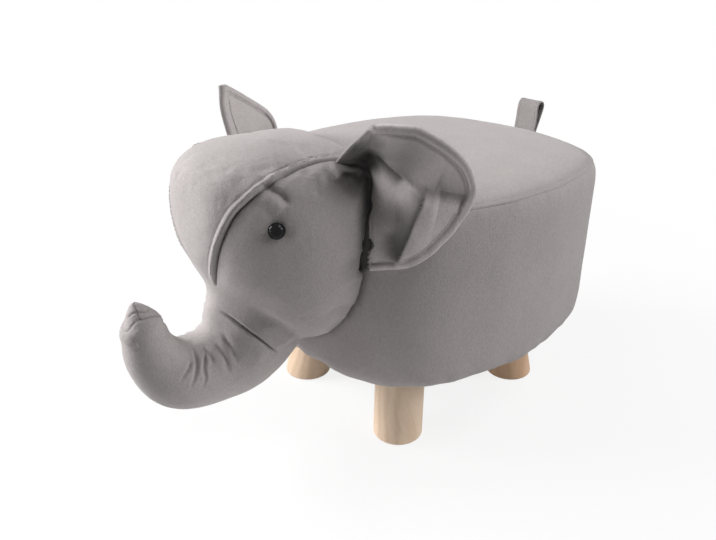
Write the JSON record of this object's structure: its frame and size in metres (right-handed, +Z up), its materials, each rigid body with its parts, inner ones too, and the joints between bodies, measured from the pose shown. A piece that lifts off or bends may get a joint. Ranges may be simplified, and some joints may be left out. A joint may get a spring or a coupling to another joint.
{
  "type": "upholstered animal footstool",
  "caption": "Low padded stool in the shape of an elephant: oval seat on splayed round wooden legs, stuffed head with curled trunk and flapping ears, and a cloth loop tail.",
  "frame": {"origin": "on the floor, under the middle of the whole stool's box", "axes": "+Z up, the head points to -Y, the tail to +Y, the animal's left is +X"},
  "size_m": [0.3305, 0.5408, 0.343],
  "materials": {
    "grey_cloth": "short-napped warm grey upholstery cloth, matte",
    "foam": "open-cell upholstery foam",
    "fibre_fill": "polyester fibre fill",
    "leg_wood": "pale turned wood, lightly oiled, straight grain",
    "plywood": "raw plywood",
    "frame_wood": "planed softwood",
    "hardboard": "bent hardboard",
    "steel": "zinc-plated steel",
    "black_cloth": "black non-woven cloth",
    "black_plastic": "polished black",
    "clear_plastic": "white moulded"
  },
  "bodies": {
    "stool": {"base_board": "plywood", "base_screws": "steel", "cover_staples": "steel", "deck_board": "plywood", "deck_screws": "steel", "dust_cover": "black_cloth", "forehead_panel": "grey_cloth", "frame_post_1": "frame_wood", "frame_post_2": "frame_wood", "frame_post_3": "frame_wood", "frame_post_4": "frame_wood", "frame_post_5": "frame_wood", "frame_post_6": "frame_wood", "front_left_leg": "leg_wood", "front_left_leg_block": "frame_wood", "front_right_leg": "leg_wood", "front_right_leg_block": "frame_wood", "hanger_bolts": "steel", "head_back_panel": "grey_cloth", "head_stuffing": "fibre_fill", "left_eye": "black_plastic", "left_eye_washer": "clear_plastic", "left_face_panel": "grey_cloth", "rear_left_leg": "leg_wood", "rear_left_leg_block": "frame_wood", "rear_right_leg": "leg_wood", "rear_right_leg_block": "frame_wood", "right_eye": "black_plastic", "right_eye_washer": "clear_plastic", "right_face_panel": "grey_cloth", "seat_cover": "grey_cloth", "seat_foam": "foam", "side_cover": "grey_cloth", "side_foam": "foam", "side_hoop": "hardboard", "tee_nuts": "steel"},
    "trunk": {"trunk_stuffing": "fibre_fill", "left_trunk_panel": "grey_cloth", "right_trunk_panel": "grey_cloth", "trunk_end_panel": "grey_cloth"},
    "left_ear": {"left_ear_pad": "foam", "left_ear_lining": "grey_cloth", "left_ear_back": "grey_cloth"},
    "right_ear": {"right_ear_pad": "foam", "right_ear_lining": "grey_cloth", "right_ear_back": "grey_cloth"},
    "tail": {"tail_loop": "grey_cloth"}
  },
  "joints": [
    {"name": "trunk_flex", "type": "hinge", "parent": "stool", "child": "trunk", "pos_m": [0, -0.1855, 0.1155], "axis": [-1, 0, 0], "range_deg": [-10, 12], "stiffness_Nm_per_rad": 1.5},
    {"name": "left_ear_flap", "type": "hinge", "parent": "stool", "child": "left_ear", "pos_m": [0.0966, -0.08, 0.25], "axis": [0.1989, -0.1216, -0.9724], "range_deg": [0, 28], "stiffness_Nm_per_rad": 0.18},
    {"name": "right_ear_flap", "type": "hinge", "parent": "stool", "child": "right_ear", "pos_m": [-0.0966, -0.08, 0.25], "axis": [0.1989, 0.1216, 0.9724], "range_deg": [0, 28], "stiffness_Nm_per_rad": 0.18},
    {"name": "tail_flop", "type": "hinge", "parent": "stool", "child": "tail", "pos_m": [0, 0.256, 0.267], "axis": [1, 0, 0], "range_deg": [-60, 40], "stiffness_Nm_per_rad": 0.03}
  ]
}
